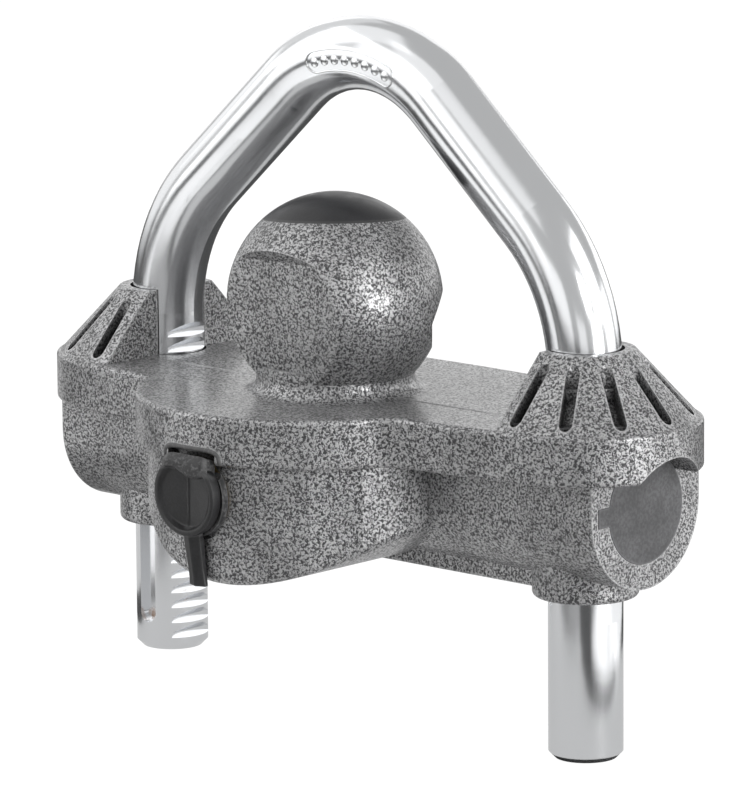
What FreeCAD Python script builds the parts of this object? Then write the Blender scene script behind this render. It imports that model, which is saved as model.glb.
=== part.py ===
import FreeCAD, Part
import math
import os

from FreeCAD import Placement, Rotation, Vector

# Trailer coupler lock: a casting with a ball that fills the coupler's socket, and a U-shaped
# shackle whose toothed leg a bolt grips inside the casting. A key cylinder in the front lobe
# draws the bolt. Every piece is drawn from a datum midway between the two legs on the plate's
# top face: X runs from the toothed leg to the plain leg, -Y is the keyhole side, Z is up.
# export() then moves each piece so that the ball's centre is the origin. Millimetres.

# --- Driving dimensions ---------------------------------------------------------------------
BAR_R = 15.875 / 2          # 5/8 inch shackle bar
LEG_X = 61.0                # leg axes stand at x = -61 and x = +61
BALL_R = 23.13
BALL_CENTRE = Vector(0, -11.0, 19.3)
BODY_GAP = 0.3              # clearance between bodies that move past each other

PLATE_T = 10.6
PLATE_END_R = 24.8
PLATE_WAIST_Y = 29.2        # half width of the plate at x = 0
LOBE_CENTRE = Vector(-4.0, -14.0, 0)
LOBE_R = 38.0
LOBE_WALL_R = 35.5          # the wall under the parting line stands back from the plate
LOBE_FILLET = 8.0
EDGE_R = 0.9

TUBE_R = 17.2
TUBE_Z = -17.6              # axis of the tube that runs between the legs
TUBE_END_X = 77.5
BOSS_R = 11.3
BOSS_BOTTOM = -38.3
KEEL_HALF_Y = 8.0
KEEL_BOTTOM = -36.2
LEG_HOLE_R = BAR_R + 0.42

CONE_H = 14.4
CONE_TOP_R = 10.6
CONE_CUT_X = 57.0           # the cones are cut off here, which bares the legs inwards
SLOT_STEP = 30.0            # degrees between the cones' slots
SLOT_W = 2.9

LOCK_X = -4.0               # key cylinder's axis
LOCK_Z = -18.0
SHELL_R = 8.0
PLUG_R = 5.6
CRANK = 2.0                 # eccentricity of the cam pin
CAM_PIN_R = 1.25
BOLT_THROW = 2 * CRANK * math.sin(math.radians(45))

BOLT_R = 8.2
CORE_R = 11.7
CORE_INNER_X = 40.0
TOOTH_PITCH = 3.4
TOOTH_DEPTH = 2.5
TOOTH_TOP_Z = 7.2           # upper end of the row of teeth
TOOTH_COUNT = 21
SHACKLE_TRAVEL = 12 * TOOTH_PITCH
LEFT_TIP_Z = -67.1
RIGHT_TIP_Z = -73.1

BEND_R = 41.0               # centre-line radii of the shackle
APEX_R = 32.0
BEND_START_Z = 9.0
BEND_TURN = 48.0

GROOVE_R = 2.25             # groove in the toothed leg, and the pin that rides in it
GROOVE_END_Z = -58.75
GROOVE_TOP_Z = 4.0
GROOVE_DEPTH = 1.9
GUIDE_PIN_R = 1.9
GUIDE_PIN_Z = GROOVE_END_Z + SHACKLE_TRAVEL + 0.6     # the groove's end meets it at full travel

CAP_SEAM = 17.3             # height of the cap's seam above the ball's centre, along the cap's axis
CAP_LEAN = 4.7              # degrees that the cap's axis leans back
CAP_LEAN_AZIMUTH = 132.8    # towards this side, measured from +X
CAP_SKIRT_R = 9.8

COVER_R = 8.6               # dust cover's lid, and the seat behind it
COVER_FRONT_Y = -54.0
COVER_BACK_Y = -51.2
DISH_R = 7.1
SEAT_FRONT_Y = -50.9
SEAT_BACK_Y = -49.2
SEAT_BORE_R = 6.2
HINGE_Y = -51.6
HINGE_Z = -10.8
HINGE_R = 1.5
HINGE_POCKET_R = 2.9        # room in the casting and the seat for the hood over the hinge
HINGE_PIN_R = 0.8
HINGE_HOLE_R = 0.85
BARREL_END = 3.1            # half lengths along the hinge: the lid's barrel, then the seat's ears
EAR_START = 3.4
EAR_END = 5.4
TAB_HALF_W = 2.2
TAB_TIP_Z = -37.0


# --- Shape helpers --------------------------------------------------------------------------
def rod(radius, start, end):
    """A round bar from one point to another."""
    axis = end - start
    return Part.makeCylinder(radius, axis.Length, start, axis)


def ring(outer, inner, start, end):
    """A tube from one point to another."""
    return rod(outer, start, end).cut(rod(inner, start, end))


def block(low, high):
    """A box between two opposite corners."""
    size = high - low
    return Part.makeBox(size.x, size.y, size.z, low)


def prism(points, depth):
    """A closed outline pushed along a vector."""
    return Part.Face(Part.makePolygon(points + [points[0]])).extrude(depth)


def half_space(normal, distance, centre, size=120.0):
    """The space beyond a plane that lies at a distance from a centre, as a large box."""
    slab = Part.makeBox(size, size, size, Vector(-size / 2, -size / 2, distance))
    slab.Placement = Placement(centre, Rotation(Vector(0, 0, 1), normal))
    return slab


def direction(azimuth, elevation):
    """Unit vector from an azimuth (from +X towards +Y) and an elevation, in degrees."""
    a, e = math.radians(azimuth), math.radians(elevation)
    return Vector(math.cos(a) * math.cos(e), math.sin(a) * math.cos(e), math.sin(e))


def mirrored(shape):
    """The shape's mirror image on the other side of the YZ plane."""
    return shape.mirror(Vector(0, 0, 0), Vector(1, 0, 0))


def softened(shape, radius, wanted):
    """The shape with the chosen edges rounded."""
    edges = [edge for edge in shape.Edges if wanted(edge)]
    return shape.makeFillet(radius, edges)


def export(name, shape):
    """Move a piece so that the ball's centre is the origin, and write it."""
    moved = shape.copy()
    moved.translate(-BALL_CENTRE)
    moved.exportStep(f"parts/{name}.step")


# --- Casting --------------------------------------------------------------------------------
def plate():
    """Top plate: two round ends joined by shallow arcs, with the lobe for the key cylinder."""
    rise = (LEG_X**2 - (PLATE_WAIST_Y - PLATE_END_R)**2) / (2 * (PLATE_WAIST_Y - PLATE_END_R))
    reach = math.hypot(LEG_X, rise)
    tangent = Vector(LEG_X + PLATE_END_R * LEG_X / reach, PLATE_END_R * rise / reach, 0)
    corners = [
        Vector(-tangent.x, tangent.y, 0), tangent,
        Vector(tangent.x, -tangent.y, 0), Vector(-tangent.x, -tangent.y, 0),
    ]
    middles = [
        Vector(0, PLATE_WAIST_Y, 0), Vector(LEG_X + PLATE_END_R, 0, 0),
        Vector(0, -PLATE_WAIST_Y, 0), Vector(-LEG_X - PLATE_END_R, 0, 0),
    ]
    edges = [
        Part.Arc(corners[i], middles[i], corners[(i + 1) % 4]).toShape()
        for i in range(4)
    ]
    slab = Part.Face(Part.Wire(edges)).extrude(Vector(0, 0, -PLATE_T))
    lobe = rod(LOBE_R, LOBE_CENTRE - Vector(0, 0, PLATE_T), LOBE_CENTRE)
    lobe = lobe.common(block(Vector(-60, -70, -20), Vector(60, 0, 5)))
    joined = slab.fuse(lobe).removeSplitter()

    def concave(edge):
        box = edge.BoundBox
        upright = box.ZLength > PLATE_T - 0.1 and box.XLength < 0.1
        return upright and box.YMax < -22 and 25 < abs(box.XMin - LOBE_CENTRE.x) < 45

    joined = softened(joined, LOBE_FILLET, concave)
    return softened(joined, EDGE_R, lambda edge: edge.BoundBox.ZLength < 0.1)


def lobe_wall():
    """Wall of the lobe under the parting line, with a rounded belly and a flat pad."""
    foot = LOBE_CENTRE - Vector(0, 0, 40)
    wall = rod(LOBE_WALL_R, foot, LOBE_CENTRE - Vector(0, 0, PLATE_T / 2))
    wall = wall.common(rod(44.0, Vector(2, -70, 7.3), Vector(2, 30, 7.3)))
    wall = softened(wall, 2.2, lambda edge: edge.BoundBox.ZMin < -30 and edge.BoundBox.XLength > 30)
    wall = wall.common(block(Vector(-60, -60, -45), Vector(60, 0, 0)))
    pad = half_space(direction(-39, 0), LOBE_WALL_R - 0.45, LOBE_CENTRE)
    return wall.cut(pad)


def tube():
    """Tube between the legs with upright sides, its keel and the bosses under the legs."""
    shape = rod(TUBE_R, Vector(-TUBE_END_X, 0, TUBE_Z), Vector(TUBE_END_X, 0, TUBE_Z))
    sides = block(Vector(-TUBE_END_X, -TUBE_R, TUBE_Z), Vector(TUBE_END_X, TUBE_R, -PLATE_T / 2))
    keel = block(Vector(-LEG_X, -KEEL_HALF_Y, KEEL_BOTTOM), Vector(LEG_X, KEEL_HALF_Y, TUBE_Z))
    shape = shape.fuse([sides, keel])
    for side in (-1, 1):
        boss = rod(BOSS_R, Vector(side * LEG_X, 0, BOSS_BOTTOM), Vector(side * LEG_X, 0, TUBE_Z))
        boss = softened(boss, 1.2, lambda edge: edge.BoundBox.ZMax < BOSS_BOTTOM + 0.1)
        shape = shape.fuse(boss)
    return shape.removeSplitter()


def cone():
    """Half cone round the plain leg, with a fan of slots through its slope."""
    shape = Part.makeCone(PLATE_END_R - EDGE_R, CONE_TOP_R, CONE_H, Vector(LEG_X, 0, 0))
    shape = shape.cut(block(Vector(0, -40, -1), Vector(CONE_CUT_X, 40, 20)))
    slope = math.degrees(math.atan2(CONE_H, PLATE_END_R - CONE_TOP_R))
    for turn in range(-3, 4):
        low = rod(SLOT_W / 2, Vector(13.6, 0, 8.0), Vector(13.6, 0, 14.0))
        high = rod(SLOT_W / 2, Vector(21.6, 0, 0.5), Vector(21.6, 0, 14.0))
        web = block(Vector(13.6, -SLOT_W / 2, 1.2), Vector(21.6, SLOT_W / 2, 14.0))
        cutter = web.fuse([low, high])
        floor = half_space(direction(0, 90 - slope), 13.0, Vector(0, 0, 0))
        cutter = cutter.common(floor)
        cutter.rotate(Vector(0, 0, 0), Vector(0, 0, 1), turn * SLOT_STEP)
        cutter.translate(Vector(LEG_X, 0, 0))
        shape = shape.cut(cutter)
    return shape


def ball():
    """Ball on its neck, with a flat to the front and two lower flats to the back."""
    neck_r, blend, neck_top = 17.0, 3.0, 6.0
    outline = [
        Part.LineSegment(Vector(0, 0, -1), Vector(neck_r + blend, 0, -1)).toShape(),
        Part.LineSegment(Vector(neck_r + blend, 0, -1), Vector(neck_r + blend, 0, 0)).toShape(),
        Part.Arc(
            Vector(neck_r + blend, 0, 0),
            Vector(neck_r + blend * (1 - math.sqrt(0.5)), 0, blend * (1 - math.sqrt(0.5))),
            Vector(neck_r, 0, blend),
        ).toShape(),
        Part.LineSegment(Vector(neck_r, 0, blend), Vector(neck_r, 0, neck_top)).toShape(),
        Part.LineSegment(Vector(neck_r, 0, neck_top), Vector(0, 0, neck_top)).toShape(),
        Part.LineSegment(Vector(0, 0, neck_top), Vector(0, 0, -1)).toShape(),
    ]
    neck = Part.Face(Part.Wire(outline)).revolve(Vector(0, 0, 0), Vector(0, 0, 1), 360)
    neck.translate(Vector(BALL_CENTRE.x, BALL_CENTRE.y, 0))
    sphere = Part.makeSphere(BALL_R, BALL_CENTRE)
    sphere = sphere.cut(block(Vector(-30, -50, -10), Vector(30, 30, 0.5)))

    front = half_space(direction(-90, -5), 16.6, BALL_CENTRE)
    front = front.common(half_space(direction(-90, -35), 8.5, BALL_CENTRE))
    back = half_space(direction(43, 0), 20.6, BALL_CENTRE)
    back = back.common(half_space(direction(43, -22.3), 20.54, BALL_CENTRE))
    return sphere.cut(front).cut(back).cut(mirrored(back)).fuse(neck)


def cap_axis():
    """Direction that the ball's cap points in."""
    return direction(CAP_LEAN_AZIMUTH, 90 - CAP_LEAN)


def bores():
    """Everything that is bored or cut out of the casting, as one list of solids."""
    ball_floor = BALL_CENTRE + cap_axis() * 4.0
    ball_rim = BALL_CENTRE + cap_axis() * (CAP_SEAM + 2)
    far = TUBE_END_X + 1
    cuts = [
        rod(CORE_R + 0.1, Vector(CORE_INNER_X - 2, 0, TUBE_Z), Vector(far + 8, 0, TUBE_Z)),
        rod(BOLT_R + BODY_GAP, Vector(-LEG_X, 0, TUBE_Z), Vector(CORE_INNER_X, 0, TUBE_Z)),
        rod(SHELL_R + 0.1, Vector(LOCK_X, -60, LOCK_Z), Vector(LOCK_X, -13.0, LOCK_Z)),
        rod(SHELL_R - 1.2, Vector(LOCK_X, -13.5, LOCK_Z), Vector(LOCK_X, -6, LOCK_Z)),
        rod(COVER_R + 0.8, Vector(LOCK_X, -60, LOCK_Z), Vector(LOCK_X, -49.0, LOCK_Z)),
        hinge_bar(HINGE_POCKET_R, -6.8, 6.8),
        rod(1.6, Vector(LOCK_X, -30, -40), Vector(LOCK_X, -30, LOCK_Z - SHELL_R + 0.5)),
        rod(1.6, Vector(46, 0, -40), Vector(46, 0, TUBE_Z - CORE_R + 0.5)),
        rod(GUIDE_PIN_R + 0.05, Vector(-LEG_X, -TUBE_R - 1, GUIDE_PIN_Z),
            Vector(-LEG_X, -BAR_R, GUIDE_PIN_Z)),
        rod(CAP_SKIRT_R + 0.1, ball_floor, ball_rim),
        half_space(cap_axis(), CAP_SEAM, BALL_CENTRE).common(Part.makeSphere(30, BALL_CENTRE)),
        block(Vector(68, -CORE_R - 3.4, TUBE_Z - 2.1), Vector(far, -CORE_R + 1, TUBE_Z + 2.1)),
    ]
    for side in (-1, 1):
        axis = Vector(side * LEG_X, 0, 0)
        cuts.append(rod(LEG_HOLE_R, axis - Vector(0, 0, 45), axis + Vector(0, 0, 20)))
    return cuts


def body_casting():
    """The whole casting."""
    right_cone = cone()
    shape = plate().fuse([tube(), lobe_wall(), right_cone, mirrored(right_cone), ball()])
    shape = shape.removeSplitter()
    for cut in bores():
        shape = shape.cut(cut)
    return shape


# --- Pieces fixed to the casting ------------------------------------------------------------
def ball_cap():
    """Smooth cap on the ball, pressed into its cored middle."""
    dome = Part.makeSphere(BALL_R, BALL_CENTRE).common(half_space(cap_axis(), CAP_SEAM, BALL_CENTRE))
    low = BALL_CENTRE + cap_axis() * 9.0
    high = BALL_CENTRE + cap_axis() * (CAP_SEAM + 0.5)
    return dome.fuse(ring(CAP_SKIRT_R, CAP_SKIRT_R - 2.2, low, high)).removeSplitter()


def core_plug():
    """Round core that closes the tube; the plain leg passes through it and keeps it in."""
    shape = rod(CORE_R, Vector(CORE_INNER_X, 0, TUBE_Z), Vector(TUBE_END_X + 0.1, 0, TUBE_Z))
    key = block(Vector(70, -CORE_R - 3.2, TUBE_Z - 2.0), Vector(TUBE_END_X + 0.1, -CORE_R + 1, TUBE_Z + 2.0))
    shape = shape.fuse(key)
    leg = rod(LEG_HOLE_R, Vector(LEG_X, 0, -45), Vector(LEG_X, 0, 5))
    seat = rod(6.6, Vector(CORE_INNER_X - 1, 0, TUBE_Z), Vector(CORE_INNER_X + 6, 0, TUBE_Z))
    pin = rod(1.6, Vector(46, 0, -40), Vector(46, 0, TUBE_Z - CORE_R + 3.2))
    return shape.cut(leg).cut(seat).cut(pin).removeSplitter()


def core_roll_pin():
    """Pin through the keel that stops the core turning."""
    return ring(1.5, 0.8, Vector(46, 0, KEEL_BOTTOM + 0.2), Vector(46, 0, TUBE_Z - CORE_R + 3.0))


def shackle_guide_pin():
    """Dowel in the wall by the toothed leg; its nose rides in the leg's groove."""
    nose = Vector(-LEG_X, -BAR_R + GROOVE_DEPTH - 1.5, GUIDE_PIN_Z)
    return rod(GUIDE_PIN_R, Vector(-LEG_X, -TUBE_R + 0.1, GUIDE_PIN_Z), nose)


def lock_shell():
    """Shell of the key cylinder."""
    shape = ring(SHELL_R, PLUG_R + 0.08, Vector(LOCK_X, -49.2, LOCK_Z), Vector(LOCK_X, -14.2, LOCK_Z))
    recess = rod(7.2, Vector(LOCK_X, -49.3, LOCK_Z), Vector(LOCK_X, -48.0, LOCK_Z))
    pin = rod(1.6, Vector(LOCK_X, -30, -40), Vector(LOCK_X, -30, LOCK_Z - SHELL_R + 1.6))
    return shape.cut(recess).cut(pin)


def drill_guard():
    """Hardened disc in front of the cylinder, with a slit for the key."""
    disc = rod(7.1, Vector(LOCK_X, -49.2, LOCK_Z), Vector(LOCK_X, -48.1, LOCK_Z))
    slit = block(Vector(LOCK_X - 1.4, -50, LOCK_Z - 4.2), Vector(LOCK_X + 1.4, -48, LOCK_Z + 4.2))
    turn = rod(4.3, Vector(LOCK_X, -50, LOCK_Z), Vector(LOCK_X, -48, LOCK_Z))
    return disc.cut(slit.fuse(turn))


def shell_roll_pin():
    """Pin from below that keeps the key cylinder in the lobe."""
    return ring(1.5, 0.8, Vector(LOCK_X, -30, -35.8), Vector(LOCK_X, -30, LOCK_Z - SHELL_R + 1.4))


def bolt_spring():
    """Coil spring behind the bolt."""
    radius, wire, turns = 5.0, 0.65, 5.0
    start, end = 17.9, CORE_INNER_X + 5.2
    helix = Part.makeHelix((end - start) / turns, end - start, radius)
    section = Part.Wire([Part.makeCircle(wire, Vector(radius, 0, 0), Vector(0, 1, 0.2))])
    coil = Part.Wire(helix.Edges).makePipeShell([section], True, True)
    coil.rotate(Vector(0, 0, 0), Vector(0, 1, 0), 90)
    coil.translate(Vector(start, 0, TUBE_Z))
    return coil


# --- Key plug and what turns with it --------------------------------------------------------
WAFER_COUNT = 6
WAFER_STEP = 3.6
WAFER_START_Y = -43.0


def wafer_slots():
    """Cuts across the plug, one for each wafer."""
    for index in range(WAFER_COUNT):
        y = WAFER_START_Y + index * WAFER_STEP
        yield index, y


def lock_plug():
    """Turning plug with its keyway and wafer slots."""
    shape = rod(PLUG_R, Vector(LOCK_X, -47.8, LOCK_Z), Vector(LOCK_X, -12.6, LOCK_Z))
    keyway = block(Vector(LOCK_X - 1.1, -50, LOCK_Z - 3.6), Vector(LOCK_X + 1.1, -18, LOCK_Z + 3.6))
    groove = ring(PLUG_R + 1, 4.8, Vector(LOCK_X, -14.1, LOCK_Z), Vector(LOCK_X, -13.1, LOCK_Z))
    shape = shape.cut(keyway).cut(groove)
    for _, y in wafer_slots():
        slot = block(Vector(LOCK_X - 3.1, y - 0.6, LOCK_Z - 4.7), Vector(LOCK_X + 3.1, y + 0.6, LOCK_Z + 4.7))
        shape = shape.cut(slot)
    return shape


def wafer(index, y):
    """One wafer; each has its window at its own height, which is what the key's bitting meets."""
    blank = block(Vector(LOCK_X - 3.0, y - 0.5, LOCK_Z - 4.4), Vector(LOCK_X + 3.0, y + 0.5, LOCK_Z + 4.4))
    window_z = LOCK_Z + (index % 3 - 1) * 0.4
    window = block(Vector(LOCK_X - 1.2, y - 1, window_z - 3.0), Vector(LOCK_X + 1.2, y + 1, window_z + 3.0))
    return blank.cut(window)


def plug_clip():
    """Open spring ring that keeps the plug in its shell."""
    shape = ring(7.0, 4.9, Vector(LOCK_X, -14.0, LOCK_Z), Vector(LOCK_X, -13.2, LOCK_Z))
    return shape.cut(block(Vector(LOCK_X - 2.5, -15, LOCK_Z - 9), Vector(LOCK_X + 2.5, -12, LOCK_Z - 3)))


def drive_cam():
    """Disc on the plug's tail with the eccentric pin that moves the bolt."""
    disc = rod(5.4, Vector(LOCK_X, -12.6, LOCK_Z), Vector(LOCK_X, -10.4, LOCK_Z))
    x = LOCK_X + CRANK * math.sin(math.radians(45))
    z = LOCK_Z + CRANK * math.cos(math.radians(45))
    return disc.fuse(rod(CAM_PIN_R, Vector(x, -10.6, z), Vector(x, -5.2, z)))


# --- Sliding bolt ---------------------------------------------------------------------------
def tooth_heights():
    """Height of the ledge under each tooth of the leg, from the top of the row down."""
    return [TOOTH_TOP_Z - (index + 1) * TOOTH_PITCH for index in range(TOOTH_COUNT)]


def tooth_outline(ledge, root, surface):
    """One notch in the XZ plane: an upright root above a ledge, then a slope to the surface."""
    outer = surface + 3.0
    return [
        Vector(root, 0, ledge), Vector(root, 0, ledge + 1.1),
        Vector(surface, 0, ledge + 2.9), Vector(outer, 0, ledge + 2.9), Vector(outer, 0, ledge),
    ]


def locking_bolt():
    """Round bolt; its toothed nose grips the leg and its slot takes the cam pin."""
    root = -LEG_X + BAR_R - TOOTH_DEPTH
    tip = root + BODY_GAP + BOLT_THROW
    face = tip + TOOTH_DEPTH + 0.2
    shape = rod(BOLT_R, Vector(face, 0, TUBE_Z), Vector(17.0, 0, TUBE_Z))
    near = [z for z in tooth_heights() if TUBE_Z - 6.5 < z < TUBE_Z + 3.0]
    for ledge in near:
        tooth = prism([
            Vector(tip, -5.2, ledge + BODY_GAP), Vector(tip, -5.2, ledge + 0.85),
            Vector(face + 0.1, -5.2, ledge + 0.85 + (face - tip) * 0.72),
            Vector(face + 0.1, -5.2, ledge + BODY_GAP),
        ], Vector(0, 10.4, 0))
        shape = shape.fuse(tooth)
    slot_x = LOCK_X + CRANK * math.sin(math.radians(45))
    low_z = LOCK_Z + CRANK * math.cos(math.radians(45))
    half = CAM_PIN_R + 0.2
    slot = block(Vector(slot_x - half, -BOLT_R - 1, low_z - half),
                 Vector(slot_x + half, -4.8, LOCK_Z + CRANK + half))
    spring_seat = ring(BOLT_R + 1, 4.0, Vector(17.0 - 0.1, 0, TUBE_Z), Vector(18, 0, TUBE_Z))
    return shape.cut(slot).cut(spring_seat).removeSplitter()


# --- Shackle --------------------------------------------------------------------------------
def shackle_path():
    """Centre line of the bar from the toothed leg's tip, over the top, to the other tip."""
    turn = math.radians(BEND_TURN)
    bend_centre = Vector(-LEG_X + BEND_R, 0, BEND_START_Z)

    def on_bend(angle):
        return bend_centre + Vector(-BEND_R * math.cos(angle), 0, BEND_R * math.sin(angle))

    bend_end = on_bend(turn)
    apex_x = APEX_R * math.cos(turn)
    slope = math.tan(math.pi / 2 - turn)
    straight_end = Vector(-apex_x, 0, bend_end.z + (-apex_x - bend_end.x) * slope)
    apex = Vector(0, 0, straight_end.z - APEX_R * math.sin(turn) + APEX_R)
    left = Vector(-LEG_X, 0, LEFT_TIP_Z)
    right = Vector(LEG_X, 0, RIGHT_TIP_Z)
    start = Vector(-LEG_X, 0, BEND_START_Z)

    def across(point):
        return Vector(-point.x, point.y, point.z)

    return Part.Wire([
        Part.LineSegment(left, start).toShape(),
        Part.Arc(start, on_bend(turn / 2), bend_end).toShape(),
        Part.LineSegment(bend_end, straight_end).toShape(),
        Part.Arc(straight_end, apex, across(straight_end)).toShape(),
        Part.LineSegment(across(straight_end), across(bend_end)).toShape(),
        Part.Arc(across(bend_end), across(on_bend(turn / 2)), across(start)).toShape(),
        Part.LineSegment(across(start), right).toShape(),
    ])


def shackle():
    """Bent bar with chamfered tips, ratchet teeth and a guide groove in its left leg."""
    section = Part.Wire([Part.makeCircle(BAR_R, Vector(-LEG_X, 0, LEFT_TIP_Z), Vector(0, 0, 1))])
    shape = shackle_path().makePipeShell([section], True, False)
    tips = [
        edge for edge in shape.Edges
        if edge.BoundBox.ZLength < 0.1 and edge.BoundBox.ZMax < LEFT_TIP_Z + 0.5
    ]
    shape = shape.makeChamfer(1.4, tips)
    surface = -LEG_X + BAR_R
    for ledge in tooth_heights():
        outline = tooth_outline(ledge, surface - TOOTH_DEPTH, surface)
        outline = [point - Vector(0, 12, 0) for point in outline]
        shape = shape.cut(prism(outline, Vector(0, 24, 0)))
    y = -BAR_R + GROOVE_DEPTH
    groove = block(Vector(-LEG_X - GROOVE_R, -12, GROOVE_END_Z), Vector(-LEG_X + GROOVE_R, y, GROOVE_TOP_Z))
    for z in (GROOVE_END_Z, GROOVE_TOP_Z):
        groove = groove.fuse(rod(GROOVE_R, Vector(-LEG_X, -12, z), Vector(-LEG_X, y, z)))
    return shape.cut(groove)


# --- Dust cover -----------------------------------------------------------------------------
def hinge_bar(radius, low, high):
    """A round bar on the dust cover's hinge axis."""
    return rod(radius, Vector(LOCK_X + low, HINGE_Y, HINGE_Z), Vector(LOCK_X + high, HINGE_Y, HINGE_Z))


def dust_cover_seat():
    """Rubber ring in the casting round the keyhole, with two ears for the hinge pin."""
    front = Vector(LOCK_X, SEAT_FRONT_Y, LOCK_Z)
    shape = ring(COVER_R, SEAT_BORE_R, front, Vector(LOCK_X, SEAT_BACK_Y, LOCK_Z))
    shape = shape.cut(hinge_bar(HINGE_POCKET_R, -COVER_R, COVER_R))
    for low, high in ((-EAR_END, -EAR_START), (EAR_START, EAR_END)):
        ear = hinge_bar(HINGE_R, low, high)
        foot = Vector(LOCK_X + low, SEAT_FRONT_Y, LOCK_Z + 3.0)
        leg = block(foot, Vector(LOCK_X + high, SEAT_FRONT_Y + 1.0, HINGE_Z))
        shape = shape.fuse(ear.fuse(leg))
    return shape.cut(hinge_bar(HINGE_HOLE_R, -COVER_R, COVER_R)).removeSplitter()


def hinge_pin():
    """Pin of the dust cover's hinge."""
    return hinge_bar(HINGE_PIN_R, -EAR_END, EAR_END)


def tab_section(z, back, side, ridge):
    """Outline of the pull tab at one height: flat back, two sides and a ridge down its face."""
    outline = [
        Vector(LOCK_X - TAB_HALF_W, back, z), Vector(LOCK_X - TAB_HALF_W, side, z), Vector(LOCK_X, ridge, z),
        Vector(LOCK_X + TAB_HALF_W, side, z), Vector(LOCK_X + TAB_HALF_W, back, z),
    ]
    return Part.makePolygon(outline + [outline[0]])


def dust_cover_flap():
    """Round lid with a raised rim, a ridge down its sunk face, a pull tab and a hinge barrel."""
    disc = rod(COVER_R, Vector(LOCK_X, COVER_FRONT_Y, LOCK_Z), Vector(LOCK_X, COVER_BACK_Y, LOCK_Z))
    floor_y = COVER_FRONT_Y + 2.0
    dish = rod(DISH_R, Vector(LOCK_X, COVER_FRONT_Y - 1, LOCK_Z), Vector(LOCK_X, floor_y, LOCK_Z))
    ridge = prism([
        Vector(LOCK_X - 5.6, floor_y + 0.3, LOCK_Z - 4.2), Vector(LOCK_X, COVER_FRONT_Y + 1.1, LOCK_Z - 4.2),
        Vector(LOCK_X + 5.6, floor_y + 0.3, LOCK_Z - 4.2),
    ], Vector(0, 0, 8.4))
    tab_top_z = LOCK_Z - COVER_R + 1
    high_section = tab_section(tab_top_z, COVER_BACK_Y - 0.1, COVER_FRONT_Y + 1.7, COVER_FRONT_Y + 0.8)
    low_section = tab_section(TAB_TIP_Z, COVER_BACK_Y + 1.3, COVER_FRONT_Y + 3.0, COVER_FRONT_Y + 2.1)
    tab = Part.makeLoft([high_section, low_section], True, True)
    shape = disc.cut(dish).fuse([ridge, tab])
    for low, high in ((-COVER_R - 1, -BARREL_END), (BARREL_END, COVER_R + 1)):
        room_low = Vector(LOCK_X + low, COVER_FRONT_Y - 2, LOCK_Z + 5.3)
        room_high = Vector(LOCK_X + high, COVER_BACK_Y + 2, HINGE_Z + 4)
        shape = shape.cut(block(room_low, room_high))
    shape = shape.fuse(hinge_bar(HINGE_R, -BARREL_END, BARREL_END))
    return shape.cut(hinge_bar(HINGE_HOLE_R, -COVER_R, COVER_R))


# --- All pieces -----------------------------------------------------------------------------
def main():
    os.makedirs("parts", exist_ok=True)
    pieces = {
        "body_casting": body_casting(),
        "ball_cap": ball_cap(),
        "core_plug": core_plug(),
        "core_roll_pin": core_roll_pin(),
        "shackle_guide_pin": shackle_guide_pin(),
        "lock_shell": lock_shell(),
        "drill_guard": drill_guard(),
        "shell_roll_pin": shell_roll_pin(),
        "bolt_spring": bolt_spring(),
        "lock_plug": lock_plug(),
        "plug_clip": plug_clip(),
        "drive_cam": drive_cam(),
        "locking_bolt": locking_bolt(),
        "shackle": shackle(),
        "dust_cover_seat": dust_cover_seat(),
        "hinge_pin": hinge_pin(),
        "dust_cover_flap": dust_cover_flap(),
    }
    for index, y in wafer_slots():
        pieces[f"wafer_{index + 1}"] = wafer(index, y)
    for name, shape in pieces.items():
        export(name, shape)
        print(f"{name:20s} solids {len(shape.Solids)} valid {shape.isValid()} {shape.Volume:10.1f}")


main()
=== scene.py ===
"""Trailer coupler lock: finishes, moulded rubber, mould lines, blank stamp, studio and camera.

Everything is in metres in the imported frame: the origin is the ball's centre, X runs from the
toothed leg to the plain leg, -Y is the keyhole side and Z is up along the legs.
"""

import logging
import math
from dataclasses import dataclass, field
from enum import Enum
from typing import Any, Iterable, Sequence

import bmesh
import bpy
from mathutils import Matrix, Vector, noise
from mathutils.bvhtree import BVHTree


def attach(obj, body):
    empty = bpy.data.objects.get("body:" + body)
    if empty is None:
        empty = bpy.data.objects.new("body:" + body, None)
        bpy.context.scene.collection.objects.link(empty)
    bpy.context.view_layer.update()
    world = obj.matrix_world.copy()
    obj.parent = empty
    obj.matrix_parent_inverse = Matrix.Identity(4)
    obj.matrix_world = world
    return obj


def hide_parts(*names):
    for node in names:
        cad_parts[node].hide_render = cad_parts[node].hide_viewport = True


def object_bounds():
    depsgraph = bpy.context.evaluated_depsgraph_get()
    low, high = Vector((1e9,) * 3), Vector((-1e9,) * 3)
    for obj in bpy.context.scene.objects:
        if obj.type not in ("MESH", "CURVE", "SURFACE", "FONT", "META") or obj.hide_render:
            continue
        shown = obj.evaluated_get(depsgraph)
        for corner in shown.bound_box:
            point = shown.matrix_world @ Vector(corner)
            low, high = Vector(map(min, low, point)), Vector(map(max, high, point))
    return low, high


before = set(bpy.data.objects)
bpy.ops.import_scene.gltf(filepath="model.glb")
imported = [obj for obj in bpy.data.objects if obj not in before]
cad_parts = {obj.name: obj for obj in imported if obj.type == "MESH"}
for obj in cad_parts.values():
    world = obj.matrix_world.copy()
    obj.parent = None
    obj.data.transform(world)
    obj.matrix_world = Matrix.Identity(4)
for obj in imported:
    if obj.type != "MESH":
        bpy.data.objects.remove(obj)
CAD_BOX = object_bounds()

log = logging.getLogger("coupler_lock")

MM = 0.001
DATUM = Vector((0.0, 0.011, -0.0193))  # the point on the plate's top midway between the legs
PICTURE_WIDTH = 743
PICTURE_HEIGHT = 794

Colour = tuple[float, float, float]


class Body(Enum):
    """The bodies that the added pieces ride on."""

    HOUSING = "housing"
    SHACKLE = "shackle"
    DUST_COVER = "dust_cover"


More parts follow.
